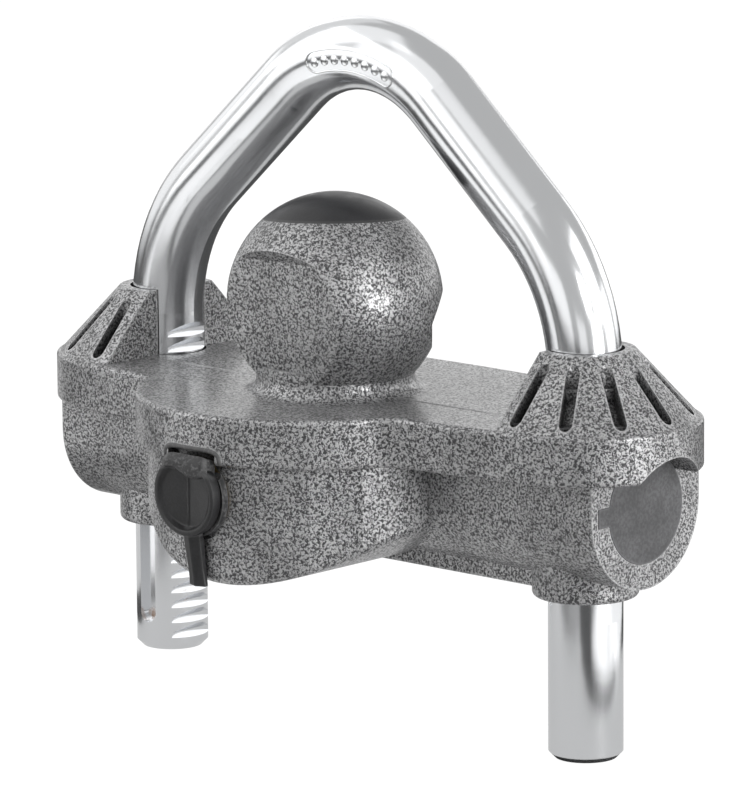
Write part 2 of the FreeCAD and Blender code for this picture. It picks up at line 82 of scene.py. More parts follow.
class Slot(Enum):
    """The record's material slots, named for the added pieces."""

    HAMMERTONE = "hammertone"
    CHROME = "chrome"
    RUBBER = "rubber"


# --- Writing node trees ----------------------------------------------------------------------
@dataclass
class Graph:
    """Writes nodes into one tree.

    Args:
        tree: The node tree that is written to.
    """

    tree: bpy.types.NodeTree

    def feed(self, socket: bpy.types.NodeSocket, value: Any) -> None:
        """Links a socket into another, or sets its plain value."""
        if isinstance(value, bpy.types.NodeSocket):
            self.tree.links.new(value, socket)
        else:
            socket.default_value = value

    def add(self, kind: str, inputs: dict | None = None, **settings: Any) -> bpy.types.Node:
        """Adds one node.

        Args:
            kind: The node's type name.
            inputs: Values or sockets for its inputs, by name or by number.
            **settings: Properties of the node itself.

        Returns:
            The new node.
        """
        node = self.tree.nodes.new(kind)
        for name, value in settings.items():
            setattr(node, name, value)
        for key, value in (inputs or {}).items():
            self.feed(node.inputs[key], value)
        return node

    def math(self, operation: str, *terms: Any) -> bpy.types.NodeSocket:
        """Adds a Math node on the terms and returns its result."""
        return self.add("ShaderNodeMath", dict(enumerate(terms)), operation=operation).outputs[0]

    def span(self, value: Any, low: Any, high: Any, start: float = 0.0, end: float = 1.0,
             smooth: bool = True) -> bpy.types.NodeSocket:
        """Maps value from low..high to start..end, held at both ends.

        Args:
            value: The socket to map.
            low: The value that gives start.
            high: The value that gives end.
            start: The result at low.
            end: The result at high.
            smooth: Eases in and out if true, and is straight if false.

        Returns:
            The mapped value.
        """
        kind = "SMOOTHSTEP" if smooth else "LINEAR"
        node = self.add(
            "ShaderNodeMapRange",
            {"Value": value, "From Min": low, "From Max": high, "To Min": start, "To Max": end},
            interpolation_type=kind,
        )
        return node.outputs[0]

    def tint(self, share: Any, low: Any, high: Any) -> bpy.types.NodeSocket:
        """Mixes two colours by share and returns the colour."""
        node = self.add("ShaderNodeMix", data_type="RGBA")
        share_in, low_in, high_in = (node.inputs[i] for i in (0, 6, 7))
        for socket, value in ((share_in, share), (low_in, low), (high_in, high)):
            self.feed(socket, rgba(value) if isinstance(value, tuple) else value)
        return node.outputs[2]

    def shade(self, colour: Any, factor: Any) -> bpy.types.NodeSocket:
        """Multiplies a colour by a number and returns the colour."""
        node = self.add("ShaderNodeVectorMath", {0: colour}, operation="SCALE")
        self.feed(node.inputs["Scale"], factor)
        return node.outputs[0]

    def noise(self, vector: Any, scale: Any, detail: float = 2.0, warp: float = 0.0,
              roughness: float = 0.5) -> bpy.types.NodeSocket:
        """Adds a Noise texture and returns its value."""
        node = self.add(
            "ShaderNodeTexNoise",
            {"Vector": vector, "Scale": scale, "Detail": detail, "Distortion": warp,
             "Roughness": roughness},
        )
        return node.outputs[0]

    def stretch(self, vector: Any, scale: Sequence[float]) -> bpy.types.NodeSocket:
        """Scales a coordinate differently along each axis."""
        return self.add("ShaderNodeMapping", {"Vector": vector, "Scale": scale}).outputs[0]


def rgba(colour: Colour) -> tuple[float, float, float, float]:
    """Adds full opacity to a colour."""
    return (*colour, 1.0)


def new_group(name: str, kind: str, inputs: Iterable[tuple[str, str, Any]],
              outputs: Iterable[tuple[str, str]]) -> tuple[Graph, Any, Any]:
    """Starts a node group with named sockets.

    Args:
        name: The group's name.
        kind: ShaderNodeTree or GeometryNodeTree.
        inputs: Name, socket type and default of each input.
        outputs: Name and socket type of each output.

    Returns:
        The group's graph, the outputs of its input node and the inputs of its output node.
    """
    tree = bpy.data.node_groups.new(name, kind)
    for label, socket_type, default in inputs:
        socket = tree.interface.new_socket(label, in_out="INPUT", socket_type=socket_type)
        if default is not None:
            socket.default_value = default
    for label, socket_type in outputs:
        tree.interface.new_socket(label, in_out="OUTPUT", socket_type=socket_type)
    graph = Graph(tree)
    return graph, graph.add("NodeGroupInput").outputs, graph.add("NodeGroupOutput").inputs


# --- Effects that several finishes share ------------------------------------------------------
class Effects:
    """Shader groups, each built once and placed in any finish with its own values."""

    def __init__(self) -> None:
        """Builds the groups."""
        self.vein = self._vein()
        self.grain = self._grain()
        self.edge = self._edge_highlight()
        self.stain = self._stain()
        self.recess_shade = self._recess_shade()

    @staticmethod
    def _vein() -> bpy.types.NodeTree:
        """Worm-shaped flecks that separate out of a vein paint as it cures."""
        graph, given, made = new_group(
            "VeinFlecks", "ShaderNodeTree",
            [("Vector", "NodeSocketVector", None), ("Scale", "NodeSocketFloat", 1500.0),
             ("Low", "NodeSocketFloat", 0.42), ("High", "NodeSocketFloat", 0.6)],
            [("Fleck", "NodeSocketFloat"), ("Height", "NodeSocketFloat")],
        )
        worms = graph.noise(given["Vector"], given["Scale"], detail=1.0, warp=0.6)
        finer = graph.math("MULTIPLY", given["Scale"], 2.3)
        crumbs = graph.noise(given["Vector"], finer, detail=0.0)
        both = graph.math("MULTIPLY_ADD", crumbs, 0.22, graph.math("MULTIPLY", worms, 0.78))
        graph.feed(made["Fleck"], graph.span(both, given["Low"], given["High"], smooth=False))
        graph.feed(made["Height"], graph.span(both, given["Low"], given["High"]))
        return graph.tree

    @staticmethod
    def _grain() -> bpy.types.NodeTree:
        """Fine even grain with a slow drift, as on moulded or tumbled surfaces."""
        graph, given, made = new_group(
            "Grain", "ShaderNodeTree",
            [("Vector", "NodeSocketVector", None), ("Scale", "NodeSocketFloat", 2500.0),
             ("Drift Scale", "NodeSocketFloat", 90.0)],
            [("Fine", "NodeSocketFloat"), ("Drift", "NodeSocketFloat")],
        )
        fine = graph.noise(given["Vector"], given["Scale"], detail=2.0)
        drift = graph.noise(given["Vector"], given["Drift Scale"], detail=3.0, warp=0.4)
        graph.feed(made["Fine"], graph.span(fine, 0.3, 0.7))
        graph.feed(made["Drift"], graph.span(drift, 0.3, 0.7))
        return graph.tree

    @staticmethod
    def _edge_highlight() -> bpy.types.NodeTree:
        """A mask that is 1 along outward edges, where a painted highlight lightens the colour."""
        graph, given, made = new_group(
            "EdgeHighlight", "ShaderNodeTree",
            [("Reach", "NodeSocketFloat", 0.0007), ("Amount", "NodeSocketFloat", 1.0)],
            [("Edge", "NodeSocketFloat")],
        )
        seen = graph.add(
            "ShaderNodeAmbientOcclusion", {"Distance": given["Reach"]}, samples=6, inside=True
        )
        mask = graph.span(seen.outputs["AO"], 0.93, 0.55)
        graph.feed(made["Edge"], graph.math("MULTIPLY", mask, given["Amount"]))
        return graph.tree

    @staticmethod
    def _recess_shade() -> bpy.types.NodeTree:
        """Painted shade: a factor that falls from 1 in the open to a floor value deep in slots and
        gaps, to darken the colour where shade falls.
        """
        graph, given, made = new_group(
            "PaintedRecessShade", "ShaderNodeTree",
            [("Reach", "NodeSocketFloat", 0.006), ("Deep", "NodeSocketFloat", 0.2)],
            [("Factor", "NodeSocketFloat")],
        )
        seen = graph.add("ShaderNodeAmbientOcclusion", {"Distance": given["Reach"]}, samples=8)
        graph.feed(made["Factor"], graph.span(seen.outputs["AO"], 0.12, 0.5, given["Deep"], 1.0))
        return graph.tree

    @staticmethod
    def _stain() -> bpy.types.NodeTree:
        """A ragged round stain about a point."""
        graph, given, made = new_group(
            "Stain", "ShaderNodeTree",
            [("Vector", "NodeSocketVector", None), ("Centre", "NodeSocketVector", None),
             ("Radius", "NodeSocketFloat", 0.002)],
            [("Mask", "NodeSocketFloat")],
        )
        away = graph.add(
            "ShaderNodeVectorMath", {0: given["Vector"], 1: given["Centre"]}, operation="DISTANCE"
        )
        near = graph.math("DIVIDE", away.outputs["Value"], given["Radius"])
        ragged = graph.noise(given["Vector"], 1500.0, detail=3.0, warp=0.6)
        near = graph.math("ADD", near, graph.math("MULTIPLY", ragged, 0.9))
        graph.feed(made["Mask"], graph.span(near, 1.35, 0.55))
        return graph.tree


@dataclass(frozen=True)
class Finish:
    """A finish and the parts of its shader that every finish shares."""

    name: str

    def start(self) -> tuple[bpy.types.Material, Graph, bpy.types.Node, bpy.types.NodeSocket]:
        """Starts a material.

        Returns:
            The material, its graph, its Principled BSDF and the object coordinate.
        """
        material = bpy.data.materials.new(self.name)
        material.use_nodes = True
        tree = material.node_tree
        tree.nodes.clear()
        graph = Graph(tree)
        surface = graph.add("ShaderNodeBsdfPrincipled")
        graph.add("ShaderNodeOutputMaterial", {"Surface": surface.outputs[0]})
        return material, graph, surface, graph.add("ShaderNodeTexCoord").outputs["Object"]

    @staticmethod
    def place(graph: Graph, group: bpy.types.NodeTree, **inputs: Any) -> Any:
        """Places a shared group, with inputs by name, and returns its outputs."""
        values = {key.replace("_", " "): value for key, value in inputs.items()}
        return graph.add("ShaderNodeGroup", values, node_tree=group).outputs

    def material(self, effects: Effects) -> bpy.types.Material:
        """Builds the material; each finish does this its own way."""
        raise NotImplementedError


@dataclass(frozen=True)
class Hammertone(Finish):
    """Grey vein paint: pale metallic flecks over a dark ground, under a clear gloss."""

    ground: Colour = (0.036, 0.036, 0.038)
    fleck: Colour = (0.47, 0.47, 0.475)
    edge_highlight_colour: Colour = (0.55, 0.55, 0.555)
    scale: float = 1950.0
    low: float = 0.425
    high: float = 0.585
    relief: float = 0.00009
    gloss: float = 0.5
    gloss_roughness: float = 0.17
    recess_shade_reach: float = 0.007

    def material(self, effects: Effects) -> bpy.types.Material:
        """Builds the paint."""
        material, graph, surface, where = self.start()
        vein = self.place(
            graph, effects.vein, Vector=where, Scale=self.scale, Low=self.low, High=self.high
        )
        grain = self.place(graph, effects.grain, Vector=where, Scale=900.0, Drift_Scale=70.0)
        edge = self.place(graph, effects.edge, Reach=0.0006, Amount=0.5)
        colour = graph.tint(vein["Fleck"], self.ground, self.fleck)
        # Painted highlight: the paint turns lighter along outward edges.
        colour = graph.tint(edge["Edge"], colour, self.edge_highlight_colour)
        colour = graph.shade(colour, graph.span(grain["Drift"], 0.0, 1.0, 0.9, 1.12))
        # Painted shade: the paint's colour is darkened in slots, gaps and under overhangs.
        recess_shade = self.place(graph, effects.recess_shade, Reach=self.recess_shade_reach, Deep=0.12)
        graph.feed(surface.inputs["Base Color"], graph.shade(colour, recess_shade["Factor"]))
        graph.feed(surface.inputs["Metallic"], graph.span(vein["Fleck"], 0.0, 1.0, 0.25, 0.75))
        rough = graph.span(vein["Fleck"], 0.0, 1.0, 0.5, 0.4)
        rough = graph.math("MULTIPLY_ADD", grain["Drift"], 0.06, rough)
        graph.feed(surface.inputs["Roughness"], rough)
        bump = graph.add(
            "ShaderNodeBump",
            {"Height": vein["Height"], "Strength": 0.6, "Distance": self.relief},
        )
        graph.feed(surface.inputs["Normal"], bump.outputs[0])
        surface.inputs["Coat Weight"].default_value = self.gloss
        surface.inputs["Coat Roughness"].default_value = self.gloss_roughness
        return material


@dataclass(frozen=True)
class Chrome(Finish):
    """Bright plate over a drawn bar, with light smears and a little rust at two places."""

    plate: Colour = (0.80, 0.81, 0.825)
    rust: Colour = (0.24, 0.115, 0.045)
    rust_points: tuple[tuple[float, float, float], ...] = ()
    rust_radii: tuple[float, ...] = ()
    polish: float = 0.13

    def material(self, effects: Effects) -> bpy.types.Material:
        """Builds the plate."""
        material, graph, surface, where = self.start()
        grain = self.place(graph, effects.grain, Vector=where, Scale=1300.0, Drift_Scale=45.0)
        drawn = graph.noise(graph.stretch(where, (1.0, 1.0, 0.04)), 2600.0, detail=2.0)
        edge = self.place(graph, effects.edge, Reach=0.0005, Amount=0.25)
        stained = None
        for point, radius in zip(self.rust_points, self.rust_radii):
            spot = self.place(graph, effects.stain, Vector=where, Centre=point, Radius=radius)
            mask = spot["Mask"]
            stained = mask if stained is None else graph.math("MAXIMUM", stained, mask)
        # Painted highlight: the plate is lighter along its edges.
        colour = graph.tint(edge["Edge"], self.plate, (0.9, 0.9, 0.9))
        rough = graph.math("MULTIPLY_ADD", grain["Drift"], 0.05, self.polish)
        rough = graph.math("MULTIPLY_ADD", drawn, 0.03, rough)
        if stained is not None:
            colour = graph.tint(stained, colour, self.rust)
            rough = graph.math("MULTIPLY_ADD", stained, 0.5, rough)
            graph.feed(surface.inputs["Metallic"], graph.span(stained, 0.0, 1.0, 1.0, 0.25))
        graph.feed(surface.inputs["Base Color"], colour)
        graph.feed(surface.inputs["Roughness"], rough)
        bump = graph.add(
            "ShaderNodeBump", {"Height": grain["Drift"], "Strength": 0.12, "Distance": 0.0002}
        )
        graph.feed(surface.inputs["Normal"], bump.outputs[0])
        return material


@dataclass(frozen=True)
class Moulded(Finish):
    """A moulded plastic or rubber: an even colour with fine grain, with a painted highlight along
    its edges and painted shade in its gaps.
    """

    colour: Colour = (0.05, 0.05, 0.052)
    pale: Colour = (0.12, 0.12, 0.122)
    roughness: float = 0.5
    grain: float = 2600.0
    relief: float = 0.00004
    mottle: float = 0.0
    cloud: float = 0.1
    speck: Colour = (0.2, 0.2, 0.2)

    def material(self, effects: Effects) -> bpy.types.Material:
        """Builds the moulding."""
        material, graph, surface, where = self.start()
        grain = self.place(graph, effects.grain, Vector=where, Scale=self.grain, Drift_Scale=160.0)
        edge = self.place(graph, effects.edge, Reach=0.0006, Amount=0.6)
        colour = graph.shade(self.colour, graph.span(grain["Fine"], 0.0, 1.0, 0.82, 1.2))
        cloudy = graph.span(grain["Drift"], 0.0, 1.0, 1.0 - self.cloud, 1.0 + self.cloud)
        colour = graph.shade(colour, cloudy)
        # Painted highlight: the colour turns pale along outward edges.
        colour = graph.tint(edge["Edge"], colour, self.pale)
        height = grain["Fine"]
        if self.mottle > 0.0:
            vein = self.place(graph, effects.vein, Vector=where, Scale=1300.0, Low=0.5, High=0.68)
            specked = graph.math("MULTIPLY", vein["Fleck"], self.mottle)
            colour = graph.tint(specked, colour, self.speck)
            height = graph.math("ADD", height, vein["Height"])
        # Painted shade: the moulding's colour is darkened in gaps and recesses.
        recess_shade = self.place(graph, effects.recess_shade, Reach=0.0016, Deep=0.15)
        graph.feed(surface.inputs["Base Color"], graph.shade(colour, recess_shade["Factor"]))
        rough = graph.span(grain["Drift"], 0.0, 1.0, self.roughness - 0.05, self.roughness + 0.07)
        graph.feed(surface.inputs["Roughness"], rough)
        bump = graph.add(
            "ShaderNodeBump", {"Height": height, "Strength": 0.5, "Distance": self.relief}
        )
        graph.feed(surface.inputs["Normal"], bump.outputs[0])
        return material


@dataclass(frozen=True)
class Metal(Finish):
    """A bare worked metal with tool marks and a painted highlight along its edges."""

    colour: Colour = (0.5, 0.5, 0.51)
    bright: Colour = (0.75, 0.75, 0.76)
    roughness: float = 0.3
    marks: Sequence[float] = (1.0, 0.05, 1.0)

    def material(self, effects: Effects) -> bpy.types.Material:
        """Builds the metal."""
        material, graph, surface, where = self.start()
        grain = self.place(graph, effects.grain, Vector=where, Scale=1800.0, Drift_Scale=120.0)
        marks = graph.noise(graph.stretch(where, self.marks), 4200.0, detail=3.0)
        edge = self.place(graph, effects.edge, Reach=0.0004, Amount=0.6)
        colour = graph.shade(self.colour, graph.span(marks, 0.3, 0.7, 0.85, 1.12))
        # Painted highlight: the metal is brighter along its edges.
        graph.feed(surface.inputs["Base Color"], graph.tint(edge["Edge"], colour, self.bright))
        rough = graph.math("MULTIPLY_ADD", marks, 0.16, self.roughness - 0.06)
        rough = graph.math("MULTIPLY_ADD", grain["Drift"], 0.08, rough)
        graph.feed(surface.inputs["Roughness"], rough)
        surface.inputs["Metallic"].default_value = 1.0
        bump = graph.add("ShaderNodeBump", {"Height": marks, "Strength": 0.25, "Distance": 0.00003})
        graph.feed(surface.inputs["Normal"], bump.outputs[0])
        return material


# --- Meshes and pieces ------------------------------------------------------------------------
def put(name: str, mesh: bpy.types.Mesh,
        material: bpy.types.Material | None = None) -> bpy.types.Object:
    """Puts a mesh in the scene as an object at the origin.

    Args:
        name: The object's name.
        mesh: Its mesh, with its place in its vertices.
        material: What it is dressed in, if it isn't dressed yet.

    Returns:
        The object.
    """
    if material is not None:
        mesh.materials.clear()
        mesh.materials.append(material)
    obj = bpy.data.objects.new(name, mesh)
    bpy.context.scene.collection.objects.link(obj)
    return obj


def baked(obj: bpy.types.Object) -> bpy.types.Object:
    """Swaps an object with live modifiers for a plain copy of its result."""
    name = obj.name
    graph = bpy.context.evaluated_depsgraph_get()
    mesh = bpy.data.meshes.new_from_object(obj.evaluated_get(graph), depsgraph=graph)
    bpy.data.objects.remove(obj)
    mesh.name = name
    return put(name, mesh)


def join_body(obj: bpy.types.Object, body: Body, slot: Slot, *stands_for: str) -> bpy.types.Object:
    """Attaches a piece to its body and hides the CAD nodes that it stands for."""
    if stands_for:
        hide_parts(*stands_for)
    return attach(obj, body.value)


def dress(nodes: Iterable[str], material: bpy.types.Material) -> list[str]:
    """Dresses CAD nodes in a material and returns their names."""
    dressed = []
    for name in nodes:
        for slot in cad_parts[name].material_slots:
            slot.material = material
        dressed.append(name)
    return dressed


def smooth_faces(mesh: bpy.types.Mesh, angle: float = 40.0) -> None:
    """Shades a mesh smooth, with edges sharper than the angle kept hard."""
    mesh.shade_smooth()
    mesh.set_sharp_from_angle(angle=math.radians(angle))


def ease(value: float, low: float, high: float) -> float:
    """Rises smoothly from 0 at low to 1 at high."""
    share = min(1.0, max(0.0, (value - low) / (high - low)))
    return share * share * (3.0 - 2.0 * share)


def between(value: float, knots: Sequence[tuple[float, float]]) -> float:
    """Reads a curve given by its knots, eased from each knot to the next."""
    if value <= knots[0][0]:
        return knots[0][1]
    for (low, start), (high, end) in zip(knots, knots[1:]):
        if value <= high:
            return start + (end - start) * ease(value, low, high)
    return knots[-1][1]


# --- Geometry Nodes: what follows a path -------------------------------------------------------
class PathTrees:
    """Geometry Nodes trees for a bead along a path and for studs spaced along one."""

    def __init__(self) -> None:
        """Builds both trees."""
        self.bead = self._bead()
        self.studs = self._studs()

    @staticmethod
    def _bead() -> bpy.types.NodeTree:
        """A round bead swept along the given edges."""
        graph, given, made = new_group(
            "BeadAlongPath", "GeometryNodeTree",
            [("Geometry", "NodeSocketGeometry", None), ("Bead Radius", "NodeSocketFloat", 0.0002),
             ("Sides", "NodeSocketInt", 10), ("Step", "NodeSocketFloat", 0.0004),
             ("Material", "NodeSocketMaterial", None)],
            [("Geometry", "NodeSocketGeometry")],
        )
        curve = graph.add("GeometryNodeMeshToCurve", {"Mesh": given["Geometry"]}).outputs[0]
        even = graph.add(
            "GeometryNodeResampleCurve", {"Curve": curve, "Length": given["Step"]}, mode="LENGTH"
        )
        profile = graph.add(
            "GeometryNodeCurvePrimitiveCircle",
            {"Resolution": given["Sides"], "Radius": given["Bead Radius"]},
        )
        swept = graph.add(
            "GeometryNodeCurveToMesh",
            {"Curve": even.outputs[0], "Profile Curve": profile.outputs[0], "Fill Caps": True},
        )
        soft = graph.add("GeometryNodeSetShadeSmooth", {0: swept.outputs[0]}).outputs[0]
        real = graph.add("GeometryNodeRealizeInstances", {0: soft}).outputs[0]
        dressed = graph.add(
            "GeometryNodeSetMaterial", {"Geometry": real, "Material": given["Material"]}
        )
        graph.feed(made["Geometry"], dressed.outputs[0])
        return graph.tree

    @staticmethod
    def _studs() -> bpy.types.NodeTree:
        """Low round studs at even spaces along the given edges."""
        graph, given, made = new_group(
            "StudsAlongPath", "GeometryNodeTree",
            [("Geometry", "NodeSocketGeometry", None), ("Stud Radius", "NodeSocketFloat", 0.0005),
             ("Count", "NodeSocketInt", 8), ("Flatness", "NodeSocketFloat", 0.5),
             ("Material", "NodeSocketMaterial", None)],
            [("Geometry", "NodeSocketGeometry")],
        )
        curve = graph.add("GeometryNodeMeshToCurve", {"Mesh": given["Geometry"]}).outputs[0]
        points = graph.add(
            "GeometryNodeCurveToPoints", {"Curve": curve, "Count": given["Count"]}, mode="COUNT"
        )
        ball = graph.add(
            "GeometryNodeMeshUVSphere", {"Segments": 16, "Rings": 9, "Radius": given["Stud Radius"]}
        ).outputs[0]
        size = graph.add("ShaderNodeCombineXYZ", {"X": 1.0, "Y": given["Flatness"], "Z": 1.0})
        placed = graph.add(
            "GeometryNodeInstanceOnPoints",
            {"Points": points.outputs[0], "Instance": ball, "Scale": size.outputs[0]},
        )
        soft = graph.add("GeometryNodeSetShadeSmooth", {0: placed.outputs[0]}).outputs[0]
        real = graph.add("GeometryNodeRealizeInstances", {0: soft}).outputs[0]
        dressed = graph.add(
            "GeometryNodeSetMaterial", {"Geometry": real, "Material": given["Material"]}
        )
        graph.feed(made["Geometry"], dressed.outputs[0])
        return graph.tree

    @staticmethod
    def run(name: str, tree: bpy.types.NodeTree, paths: Sequence[Sequence[Vector]], closed: bool,
            **inputs: Any) -> bpy.types.Object:
        """Runs a tree on paths and returns the result as a plain mesh.

        Args:
            name: The new object's name.
            tree: The Geometry Nodes tree.
            paths: One list of points for each path.
            closed: Whether each path's end joins its start.
            **inputs: The tree's inputs by name, with _ for a space.

        Returns:
            The object, with no modifier.
        """
        mesh = bpy.data.meshes.new(name + "_path")
        points, edges = [], []
        for path in paths:
            first = len(points)
            points.extend(path)
            edges.extend((first + i, first + i + 1) for i in range(len(path) - 1))
            if closed:
                edges.append((first + len(path) - 1, first))
        mesh.from_pydata(points, edges, [])
        obj = put(name, mesh)
        modifier = obj.modifiers.new("Follow", "NODES")
        modifier.node_group = tree
        sockets = {s.name: s.identifier for s in tree.interface.items_tree if s.in_out == "INPUT"}
        for key, value in inputs.items():
            modifier[sockets[key.replace("_", " ")]] = value
        return baked(obj)


# --- Sub-assemblies ----------------------------------------------------------------------------
@dataclass
class Workshop:
    """What every sub-assembly is built with."""

    effects: Effects
    paths: PathTrees


@dataclass
class Casting:
    """The painted casting with its mould lines.

    Args:
        top: Height of the plate's top face.
        ridge_y: Where the mould's ridge crosses the plate.
        ridge_reach: The ridge's inner and outer ends, either side of the ball.
        ridge_radius: Radius of the ridge's bead.
    """

    top: float = -0.0193
    ridge_y: float = 0.0
    ridge_reach: tuple[float, float] = (0.0185, 0.0555)
    ridge_radius: float = 0.00030
    paint: Hammertone = field(default_factory=lambda: Hammertone("hammertone_paint"))

    def mould_ridge(self, shop: Workshop, material: bpy.types.Material) -> bpy.types.Object:
        """Builds the low ridge that the mould leaves on the plate, either side of the ball."""
        inner, outer = self.ridge_reach
        low = self.top - 0.55 * self.ridge_radius
        steps = 40
        paths = []
        for side in (-1.0, 1.0):
            path = []
            for i in range(steps + 1):
                x = side * (inner + (outer - inner) * i / steps)
                wander = 0.00012 * noise.noise(Vector((x * 180.0, 3.7, 0.0)))
                path.append(Vector((x, self.ridge_y + wander, low)))
            paths.append(path)
        return shop.paths.run(
            "mould_ridge", shop.paths.bead, paths, False,
            Bead_Radius=self.ridge_radius, Sides=10, Step=0.0006, Material=material,
        )

    def build(self, shop: Workshop) -> list[str]:
        """Dresses the casting and adds its mould ridge."""
        material = self.paint.material(shop.effects)
        made = dress(["body_casting", "shackle_guide_pin"], material)
        ridge = join_body(self.mould_ridge(shop, material), Body.HOUSING, Slot.HAMMERTONE)
        return [*made, ridge.name]


@dataclass
class BallCap:
    """The smooth cap let into the top of the ball."""

    finish: Moulded = field(default_factory=lambda: Moulded(
        "satin_cap", colour=(0.015, 0.015, 0.017), pale=(0.05, 0.05, 0.05), roughness=0.36,
        grain=3200.0, relief=0.00001))

    def build(self, shop: Workshop) -> list[str]:
        """Dresses the cap."""
        return dress(["ball_cap"], self.finish.material(shop.effects))


@dataclass
class CorePlug:
    """The plug that closes the tube's open end."""

    finish: Moulded = field(default_factory=lambda: Moulded(
        "core_plastic", colour=(0.074, 0.074, 0.077), pale=(0.16, 0.16, 0.165), roughness=0.62,
        grain=1500.0, relief=0.00006, cloud=0.2))

    def build(self, shop: Workshop) -> list[str]:
        """Dresses the plug."""
        return dress(["core_plug"], self.finish.material(shop.effects))


@dataclass
class Shackle:
    """The plated bar with the blank stamp on the front of its bow.

    Args:
        bar_radius: Radius of the bar.
        bow_centre: Centre of the bow's top arc.
        bow_radius: Radius of that arc's centre line.
        stamp_radius: Radius of the stamp's own middle line.
        stamp_half: Half the stamp's height.
        stamp_turn: The stamp's two ends, in degrees from the top, positive to +X.
    """

    bar_radius: float = 0.0079375
    bow_centre: Vector = field(default_factory=lambda: Vector((0.0, 0.011, 0.01982)))
    bow_radius: float = 0.032
    stamp_radius: float = 0.0312
    stamp_half: float = 0.0023
    stamp_turn: tuple[float, float] = (-15.5, 22.5)
    plate: Chrome = field(default_factory=lambda: Chrome(
        "chrome_plate",
        rust_points=((-0.061, 0.0042, -0.0786), (-0.0555, 0.0095, -0.0745)),
        rust_radii=(0.0022, 0.0017)))

    def on_bow(self, turn: float, radius: float) -> Vector:
        """Finds the point on the bow's front at an angle from the top and a radius from its centre.

        Args:
            turn: Angle from the top in radians, positive to +X.
            radius: Distance from the bow's centre.

        Returns:
            The point on the bar's surface.
        """
        off = radius - self.bow_radius
        depth = math.sqrt(max(0.0, self.bar_radius**2 - off**2))
        return self.bow_centre + Vector((radius * math.sin(turn), -depth, radius * math.cos(turn)))

    def stamp_outline(self) -> list[Vector]:
        """Lays the stamp's rounded outline on the bar."""
        start, end = (math.radians(a) for a in self.stamp_turn)
        round_turn = self.stamp_half / self.stamp_radius
        steps = 36
        points = []
        for i in range(steps + 1):
            turn = start + (end - start) * i / steps
            points.append(self.on_bow(turn, self.stamp_radius + self.stamp_half))
        for i in range(1, 12):
            a = math.pi * i / 12
            points.append(self.on_bow(end + round_turn * math.sin(a),
                                      self.stamp_radius + self.stamp_half * math.cos(a)))
        for i in range(steps + 1):
            turn = end + (start - end) * i / steps
            points.append(self.on_bow(turn, self.stamp_radius - self.stamp_half))
        for i in range(1, 12):
            a = math.pi * i / 12
            points.append(self.on_bow(start - round_turn * math.sin(a),
                                      self.stamp_radius - self.stamp_half * math.cos(a)))
        return points

    def stamp_row(self) -> list[Vector]:
        """Lays the line that the stamp's plain studs stand on."""
        start, end = (math.radians(a) for a in self.stamp_turn)
        return [self.on_bow(start + (end - start) * i / 20, self.stamp_radius) for i in range(21)]

    def build(self, shop: Workshop) -> list[str]:
        """Dresses the bar and adds the stamp."""
        material = self.plate.material(shop.effects)
        made = dress(["shackle"], material)
        border = shop.paths.run(
            "stamp_border", shop.paths.bead, [self.stamp_outline()], True,
            Bead_Radius=0.00024, Sides=8, Step=0.00035, Material=material,
        )
        studs = shop.paths.run(
            "stamp_studs", shop.paths.studs, [self.stamp_row()], False,
            Stud_Radius=0.0011, Count=8, Flatness=0.2, Material=material,
        )
        for piece in (border, studs):
            join_body(piece, Body.SHACKLE, Slot.CHROME)
        return [*made, border.name, studs.name]


